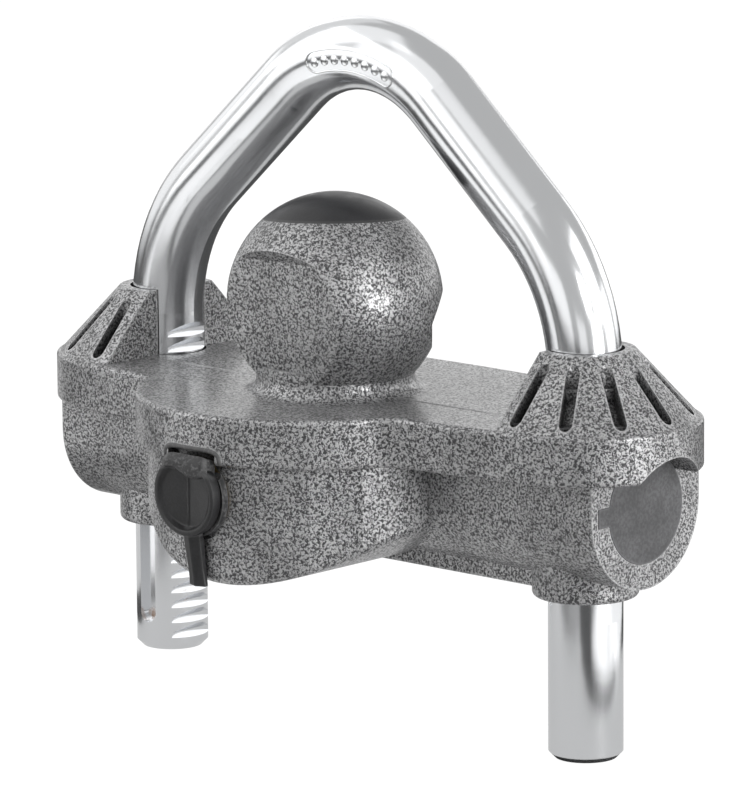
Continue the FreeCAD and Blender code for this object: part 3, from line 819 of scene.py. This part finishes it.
@dataclass
class DustCover:
    """The rubber lid over the keyhole, with its pull tab and the hood over its hinge.

    Sizes are in millimetres on the lid's own face: u to +X, v up, h outwards from the rim's plane.

    Args:
        centre: The middle of the rim's plane, in metres.
        radius: Radius of the lid.
        chord: Height above the centre where the lid is cut off under the hood.
        thickness: From the rim's plane to the lid's back.
        dish_radius: Radius of the sunk middle.
        hinge: The hinge axis, as v and h.
        tab_tip: How far down the tab reaches.
        hood_radius: The hood's outside, from the hinge axis.
        hood_lining: The hood's inside, from the hinge axis.
        hood_turn: How far over the hinge the hood wraps, in degrees from the front.
        brow_half: Half the width of the lip over the hinge's pocket.
        brow_rise: Height of that lip above the hinge.
        brow_radius: Radius of that lip's bead, in metres.
    """

    centre: Vector = field(default_factory=lambda: Vector((-0.004, -0.043, -0.0367)))
    radius: float = 8.6
    chord: float = 5.7
    thickness: float = 2.8
    dish_radius: float = 7.0
    hinge: tuple[float, float] = (6.6, -2.4)
    tab_tip: float = -19.7
    hood_radius: float = 2.45
    hood_lining: float = 1.75
    hood_turn: float = 66.0
    brow_half: float = 7.85
    brow_rise: float = 3.4
    brow_radius: float = 0.0006
    rubber: Moulded = field(default_factory=lambda: Moulded(
        "rubber", colour=(0.012, 0.012, 0.013), pale=(0.085, 0.085, 0.087), roughness=0.42,
        grain=1900.0, relief=0.00003))
    sprayed: Moulded = field(default_factory=lambda: Moulded(
        "rubber_overspray", colour=(0.026, 0.026, 0.027), pale=(0.12, 0.12, 0.12), roughness=0.5,
        grain=1500.0, relief=0.00008, mottle=0.55, speck=(0.17, 0.17, 0.172)))

    def at(self, u: float, v: float, h: float) -> Vector:
        """Turns a place on the lid's face into a point in the frame."""
        return self.centre + Vector((u, -h, v)) * MM

    def face(self, u: float, v: float) -> float:
        """Gives the height of the lid's front: a rolled rim round two facets and a thin rib."""
        r = math.hypot(u, v)
        facets = -1.75 + 1.05 * min(1.0, abs(u) / 6.5)
        rib = 0.3 * (1.0 - ease(abs(u), 0.08, 0.4))
        sunk = facets + rib
        rim = -0.25 * ease(abs(r - 7.9), 0.2, 0.9)
        return sunk + (rim - sunk) * ease(r, self.dish_radius - 0.25, self.dish_radius + 0.45)

    def reach(self, turn: float) -> float:
        """Gives the lid's outline: round, cut by a chord at the top."""
        rise = math.sin(turn)
        cut = self.chord / rise if rise > 1e-6 else self.radius
        return min(self.radius, cut)

    def lid(self) -> bpy.types.Object:
        """Builds the lid as one closed shell, front, rolled side and back."""
        mesh = bmesh.new()
        around, rings = 144, 30
        rows: list[list[bmesh.types.BMVert]] = []
        turns = [2 * math.pi * i / around for i in range(around)]
        for ring in range(1, rings + 1):
            row = []
            for turn in turns:
                r = self.reach(turn) * ring / rings
                u, v = r * math.cos(turn), r * math.sin(turn)
                row.append(mesh.verts.new(self.at(u, v, self.face(u, v))))
            rows.append(row)
        side = ((-0.10, -0.75), (-0.12, -1.6), (0.0, -2.45), (0.3, -2.75), (1.5, -self.thickness),
                (5.0, -self.thickness))
        for inset, depth in side:
            row = []
            for turn in turns:
                r = self.reach(turn) - inset
                row.append(mesh.verts.new(self.at(r * math.cos(turn), r * math.sin(turn), depth)))
            rows.append(row)
        front = mesh.verts.new(self.at(0.0, 0.0, self.face(0.0, 0.0)))
        back = mesh.verts.new(self.at(0.0, 0.0, -self.thickness))
        for i in range(around):
            j = (i + 1) % around
            mesh.faces.new((front, rows[0][i], rows[0][j]))
            mesh.faces.new((back, rows[-1][j], rows[-1][i]))
            for low, high in zip(rows, rows[1:]):
                mesh.faces.new((low[i], high[i], high[j], low[j]))
        return self.finished("dust_cover_lid", mesh)

    def tab(self) -> bpy.types.Object:
        """Builds the pull tab, which leans back to the wall, with a ridge down its face."""
        mesh = bmesh.new()
        stations = 16
        rows = []
        for i in range(stations + 1):
            share = i / stations
            v = -7.2 + (self.tab_tip + 7.2) * share
            wide = between(share, ((0.0, 2.9), (0.16, 2.35), (0.8, 2.15), (1.0, 2.3)))
            ridge = -0.75 - 1.35 * share
            side = ridge - 0.95
            back = between(share, ((0.0, -2.7), (0.25, -3.6), (1.0, -4.1)))
            outline = ((-wide, back), (-wide, side), (-wide * 0.42, side + 0.42), (0.0, ridge),
                       (wide * 0.42, side + 0.42), (wide, side), (wide, back), (0.0, back))
            lean = 0.35 + 0.55 * share
            rows.append([mesh.verts.new(self.at(u + lean, v, h)) for u, h in outline])
        count = len(rows[0])
        for low, high in zip(rows, rows[1:]):
            for i in range(count):
                j = (i + 1) % count
                mesh.faces.new((low[i], high[i], high[j], low[j]))
        mesh.faces.new(rows[0])
        mesh.faces.new(list(reversed(rows[-1])))
        obj = self.finished("dust_cover_tab", mesh)
        bevel = obj.modifiers.new("Soft", "BEVEL")
        bevel.width = 0.28 * MM
        bevel.segments = 3
        bevel.limit_method = "ANGLE"
        bevel.angle_limit = math.radians(24)
        obj = baked(obj)
        smooth_faces(obj.data, 50)
        return obj

    def hood_point(self, s: float, t: float, out: bool) -> Vector:
        """Gives a point of the hood.

        Args:
            s: Place across, from -1 to 1.
            t: Place from the lower edge at 0, over the hinge at 0.5, to the top at 1.
            out: Whether the point is on the outside or on the lining.

        Returns:
            The point in the frame.
        """
        hinge_v, hinge_h = self.hinge
        left = between(t, ((0.0, 7.3), (0.2, 6.7), (0.5, 6.6), (1.0, 5.8)))
        right = between(t, ((0.0, 7.4), (0.2, 6.7), (0.5, 6.6), (1.0, 5.8)))
        u = s * (left if s < 0 else right)
        edge = between(u, ((-7.7, 4.3), (-5.2, 5.7), (-3.0, 5.9), (-0.9, 4.9), (1.2, 3.9),
                           (3.6, 3.8), (5.8, 4.7), (7.9, 3.6)))
        edge = min(edge, hinge_v - 0.5)
        close = ease(abs(s), 0.7, 1.0)
        if t < 0.5:
            v = edge + (hinge_v - edge) * t / 0.5
            h = 0.05 if out else (-2.3 if v < hinge_v - 1.95 else -0.62)
        else:
            turn = math.radians(self.hood_turn) * (t - 0.5) / 0.5
            bulk = self.hood_radius - 0.5 * close if out else self.hood_lining
            v, h = hinge_v + bulk * math.sin(turn), hinge_h + bulk * math.cos(turn)
        if out:
            lump = noise.noise(Vector((u * 0.9, v * 0.9, 4.2)))
            h += 0.13 * lump - (0.5 * close if t < 0.5 else 0.0) - 0.3 * (1.0 - ease(t, 0.0, 0.14))
        return self.at(u, v, h)

    def brow(self, shop: Workshop, material: bpy.types.Material) -> bpy.types.Object:
        """Builds the lip moulded over the hinge's pocket, laid on the casting's wall."""
        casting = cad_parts["body_casting"]
        wall = BVHTree.FromPolygons([casting.matrix_world @ v.co for v in casting.data.vertices],
                                    [tuple(p.vertices) for p in casting.data.polygons])
        path = []
        for i in range(91):
            turn = math.radians(2.0 + 176.0 * i / 90)
            u = self.brow_half * math.copysign(abs(math.cos(turn)) ** 0.35, math.cos(turn))
            v = self.hinge[0] + self.brow_rise * math.sin(turn) ** 0.5
            inwards = Vector((0.0, 1.0, 0.0))
            path.append(wall.ray_cast(self.at(u, v, 20.0), inwards)[0] + inwards * 0.3 * MM)
        return shop.paths.run(
            "dust_cover_brow", shop.paths.bead, [path], False,
            Bead_Radius=self.brow_radius, Sides=14, Step=0.0005, Material=material,
        )

    def hood(self) -> bpy.types.Object:
        """Builds the hood that wraps the hinge and dips over the lid's face."""
        mesh = bmesh.new()
        across, along = 22, 16
        skins = []
        for out in (True, False):
            skin = []
            for i in range(along + 1):
                row = [mesh.verts.new(self.hood_point(2.0 * k / across - 1.0, i / along, out))
                       for k in range(across + 1)]
                skin.append(row)
            skins.append(skin)
        outer, inner = skins
        for i in range(along):
            for k in range(across):
                for skin, flip in ((outer, False), (inner, True)):
                    quad = [skin[i][k], skin[i][k + 1], skin[i + 1][k + 1], skin[i + 1][k]]
                    mesh.faces.new(quad[::-1] if flip else quad)
        loop = [(0, k) for k in range(across)] + [(i, across) for i in range(along)]
        loop += [(along, k) for k in range(across, 0, -1)] + [(i, 0) for i in range(along, 0, -1)]
        for (i, k), (m, n) in zip(loop, loop[1:] + loop[:1]):
            mesh.faces.new((outer[m][n], outer[i][k], inner[i][k], inner[m][n]))
        obj = self.finished("dust_cover_hood", mesh)
        rounder = obj.modifiers.new("Rounded", "SUBSURF")
        rounder.levels = rounder.render_levels = 1
        obj = baked(obj)
        smooth_faces(obj.data, 60)
        return obj

    @staticmethod
    def finished(name: str, mesh: bmesh.types.BMesh) -> bpy.types.Object:
        """Merges doubles, turns faces outwards, and puts the mesh in the scene."""
        bmesh.ops.remove_doubles(mesh, verts=mesh.verts, dist=1e-7)
        bmesh.ops.recalc_face_normals(mesh, faces=mesh.faces)
        data = bpy.data.meshes.new(name)
        mesh.to_mesh(data)
        mesh.free()
        smooth_faces(data)
        return put(name, data)

    def build(self, shop: Workshop) -> list[str]:
        """Builds the cover's pieces and dresses the seat behind them."""
        rubber = self.rubber.material(shop.effects)
        sprayed = self.sprayed.material(shop.effects)
        made = dress(["dust_cover_seat", "hinge_pin"], sprayed)
        lid, tab, hood = self.lid(), self.tab(), self.hood()
        brow = join_body(self.brow(shop, sprayed), Body.HOUSING, Slot.RUBBER)
        for piece, material in ((lid, rubber), (tab, rubber), (hood, sprayed)):
            piece.data.materials.clear()
            piece.data.materials.append(material)
        join_body(lid, Body.DUST_COVER, Slot.RUBBER, "dust_cover_flap")
        join_body(tab, Body.DUST_COVER, Slot.RUBBER)
        join_body(hood, Body.DUST_COVER, Slot.RUBBER)
        return [*made, lid.name, tab.name, hood.name, brow.name]


@dataclass
class LockWorks:
    """The steel and brass pieces inside the casting."""

    steel: Metal = field(default_factory=lambda: Metal("pin_steel"))
    bolt: Metal = field(default_factory=lambda: Metal(
        "bolt_steel", colour=(0.42, 0.42, 0.43), roughness=0.26, marks=(0.05, 1.0, 1.0)))
    brass: Metal = field(default_factory=lambda: Metal(
        "lock_brass", colour=(0.72, 0.53, 0.25), bright=(0.85, 0.7, 0.4), roughness=0.28))

    def build(self, shop: Workshop) -> list[str]:
        """Dresses the works."""
        wafers = sorted(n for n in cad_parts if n.startswith("wafer_"))
        pins = ["core_roll_pin", "drill_guard", "shell_roll_pin", "bolt_spring", "plug_clip",
                "drive_cam"]
        return [
            *dress(pins, self.steel.material(shop.effects)),
            *dress(["locking_bolt"], self.bolt.material(shop.effects)),
            *dress(["lock_shell", "lock_plug", *wafers], self.brass.material(shop.effects)),
        ]


# --- Studio -------------------------------------------------------------------------------------
def bearing(azimuth: float, elevation: float) -> Vector:
    """Turns an azimuth from -Y towards +X and an elevation, in degrees, into a direction."""
    a, e = math.radians(azimuth), math.radians(elevation)
    return Vector((math.sin(a) * math.cos(e), -math.cos(a) * math.cos(e), math.sin(e)))


@dataclass(frozen=True)
class SoftBox:
    """A square soft light that hangs round the object.

    Args:
        name: The light's name.
        azimuth: Where it hangs, in degrees from -Y towards +X.
        elevation: How high it hangs, in degrees.
        power: Watts.
        side: Length of the light's side.
        distance: From the object.
    """

    name: str
    azimuth: float
    elevation: float
    power: float
    side: float = 0.85
    distance: float = 1.3

    def build(self) -> bpy.types.Object:
        """Hangs the light and points it at the object."""
        data = bpy.data.lights.new(self.name, "AREA")
        data.shape = "SQUARE"
        data.size = self.side
        data.energy = self.power
        light = bpy.data.objects.new(self.name, data)
        away = bearing(self.azimuth, self.elevation)
        light.location = away * self.distance
        light.rotation_euler = (-away).to_track_quat("-Z", "Y").to_euler()
        bpy.context.scene.collection.objects.link(light)
        return light


@dataclass(frozen=True)
class FloorPatch:
    """A lit patch of the floor, which the bar's ends mirror and the painted sides pick up.

    Args:
        name: The light's name.
        azimuth: Where it lies, in degrees from -Y towards +X.
        radiance: How bright it looks.
        reach: Its middle's distance from the object.
        width: Its size across.
        depth: Its size outwards.
    """

    name: str
    azimuth: float
    radiance: float
    reach: float = 0.34
    width: float = 0.18
    depth: float = 0.40

    def build(self, level: float) -> bpy.types.Object:
        """Lays the patch on the floor, facing up and not itself in sight."""
        data = bpy.data.lights.new(self.name, "AREA")
        data.shape = "RECTANGLE"
        data.size, data.size_y = self.width, self.depth
        data.energy = self.radiance * math.pi * self.width * self.depth
        light = bpy.data.objects.new(self.name, data)
        light.location = bearing(self.azimuth, 0.0) * self.reach + Vector((0.0, 0.0, level))
        light.rotation_euler = (math.pi, 0.0, math.radians(self.azimuth))
        light.visible_camera = False
        bpy.context.scene.collection.objects.link(light)
        return light


@dataclass
class Studio:
    """Pale floor, soft lights, white surround and the camera.

    Args:
        azimuth: The camera's bearing, in degrees from -Y towards +X.
        elevation: The camera's height, in degrees.
        roll: How far the camera leans, in degrees.
        distance: From DATUM to the camera.
        focal_cells: Focal length, in cells of the picture.
        centre_x: Where the camera's axis meets the picture, from the left.
        centre_y: Where the camera's axis meets the picture, from the top.
        surround: How bright the surround is as light.
        floor_seen: How bright the floor looks to the camera.
        boxes: The soft lights.
        patches: The lit patches of floor.
    """

    azimuth: float = 42.808
    elevation: float = 10.629
    roll: float = -0.468
    distance: float = 1.336
    focal_cells: float = 6204.0
    centre_x: float = 370.69
    centre_y: float = 380.61
    surround: float = 0.53
    floor_seen: float = 0.98
    boxes: tuple[SoftBox, ...] = (
        SoftBox("key", 90.0, 0.0, 11.5, 0.5),
        SoftBox("spark", 76.0, 24.0, 2.1, 0.3),
        SoftBox("back", 180.0, 0.0, 2.3),
        SoftBox("left_front", 315.0, 0.0, 2.7),
        SoftBox("front", 0.0, 0.0, 1.5),
        SoftBox("right_back", 135.0, 0.0, 2.7),
        SoftBox("left_upper", 292.5, 30.0, 2.0),
        SoftBox("right_upper", 112.5, 30.0, 3.0),
        SoftBox("left_high", 288.0, 60.0, 1.1),
        SoftBox("front_high", 0.0, 60.0, 1.1),
        SoftBox("front_upper", 337.5, 30.0, 1.9),
        SoftBox("left", 270.0, 0.0, 1.2),
        SoftBox("camera_side", 45.0, 0.0, 0.4, 0.5),
        SoftBox("left_back_upper", 247.5, 30.0, 0.6),
        SoftBox("sheen", 222.0, 13.0, 1.3),
    )
    patches: tuple[FloorPatch, ...] = (
        FloorPatch("floor_left_front", 312.8, 1.1),
        FloorPatch("floor_right_back", 132.8, 1.0),
        FloorPatch("floor_front", 12.8, 0.35),
        FloorPatch("floor_right", 102.8, 1.3),
        FloorPatch("floor_left_back", 252.8, 0.6),
        FloorPatch("floor_front_left", 342.8, 0.35),
        FloorPatch("floor_middle", 0.0, 0.55, 0.0, 0.22, 0.22),
    )

    def camera(self) -> None:
        """Sets the camera."""
        a, e, r = (math.radians(x) for x in (self.azimuth, self.elevation, self.roll))
        back = Vector((math.sin(a) * math.cos(e), -math.cos(a) * math.cos(e), math.sin(e)))
        level = Vector((math.cos(a), math.sin(a), 0.0))
        up = back.cross(level)
        right = level * math.cos(r) + up * math.sin(r)
        above = up * math.cos(r) - level * math.sin(r)
        data = bpy.data.cameras.new("camera")
        longest = max(PICTURE_WIDTH, PICTURE_HEIGHT)
        data.sensor_width = 36.0
        data.lens = self.focal_cells / longest * data.sensor_width
        data.shift_x = (PICTURE_WIDTH / 2 - self.centre_x) / longest
        data.shift_y = (self.centre_y - PICTURE_HEIGHT / 2) / longest
        data.clip_start, data.clip_end = 0.05, 50.0
        camera = bpy.data.objects.new("camera", data)
        bpy.context.scene.collection.objects.link(camera)
        place = DATUM + back * self.distance
        for i in range(3):
            camera.matrix_world[i][0] = right[i]
            camera.matrix_world[i][1] = above[i]
            camera.matrix_world[i][2] = back[i]
            camera.matrix_world[i][3] = place[i]
        camera.matrix_world = camera.matrix_world.copy()
        bpy.context.scene.camera = camera

    def floor(self) -> None:
        """Lays the pale floor under the longer leg."""
        mesh = bmesh.new()
        level = CAD_BOX[0].z - 0.0001
        steps, half = 8, 6.0
        grid = [[mesh.verts.new((half * (2 * i / steps - 1), half * (2 * k / steps - 1), level))
                 for i in range(steps + 1)] for k in range(steps + 1)]
        for k in range(steps):
            for i in range(steps):
                mesh.faces.new((grid[k][i], grid[k][i + 1], grid[k + 1][i + 1], grid[k + 1][i]))
        data = bpy.data.meshes.new("floor")
        mesh.to_mesh(data)
        mesh.free()
        material = bpy.data.materials.new("pale_floor")
        material.use_nodes = True
        graph = Graph(material.node_tree)
        graph.tree.nodes.clear()
        matt = graph.add("ShaderNodeBsdfDiffuse", {"Color": rgba((0.08, 0.08, 0.08))})
        looked_at = graph.add("ShaderNodeLightPath").outputs["Is Camera Ray"]
        glow = graph.math("MULTIPLY", looked_at, self.floor_seen)
        lit = graph.add("ShaderNodeEmission", {"Color": rgba((1.0, 1.0, 1.0)), "Strength": glow})
        both = graph.add("ShaderNodeAddShader", {0: matt.outputs[0], 1: lit.outputs[0]})
        graph.add("ShaderNodeOutputMaterial", {"Surface": both.outputs[0]})
        put("floor", data, material)

    def world(self) -> None:
        """Makes the surround: white to look at, softer as light."""
        world = bpy.data.worlds.new("surround")
        world.use_nodes = True
        graph = Graph(world.node_tree)
        graph.tree.nodes.clear()
        looked_at = graph.add("ShaderNodeLightPath").outputs["Is Camera Ray"]
        strength = graph.span(looked_at, 0.0, 1.0, self.surround, 1.0, smooth=False)
        sky = graph.add(
            "ShaderNodeBackground", {"Color": rgba((1.0, 1.0, 1.0)), "Strength": strength}
        )
        graph.add("ShaderNodeOutputWorld", {"Surface": sky.outputs[0]})
        bpy.context.scene.world = world

    def build(self) -> list[str]:
        """Sets up the whole studio and returns the names of its lights."""
        bpy.context.scene.view_settings.view_transform = "Standard"
        self.camera()
        self.floor()
        self.world()
        lights = [box.build() for box in self.boxes]
        lights += [patch.build(CAD_BOX[0].z + 0.001) for patch in self.patches]
        return [light.name for light in lights]


def main() -> None:
    """Builds the studio and every sub-assembly, and reports each piece."""
    logging.basicConfig(level=logging.INFO, format="%(name)s: %(message)s")
    for name in Studio().build():
        log.info("light %s", name)
    shop = Workshop(Effects(), PathTrees())
    for assembly in (Casting(), BallCap(), CorePlug(), Shackle(), DustCover(), LockWorks()):
        for piece in assembly.build(shop):
            log.info("%s: %s", type(assembly).__name__, piece)


if __name__ == "__main__":
    main()
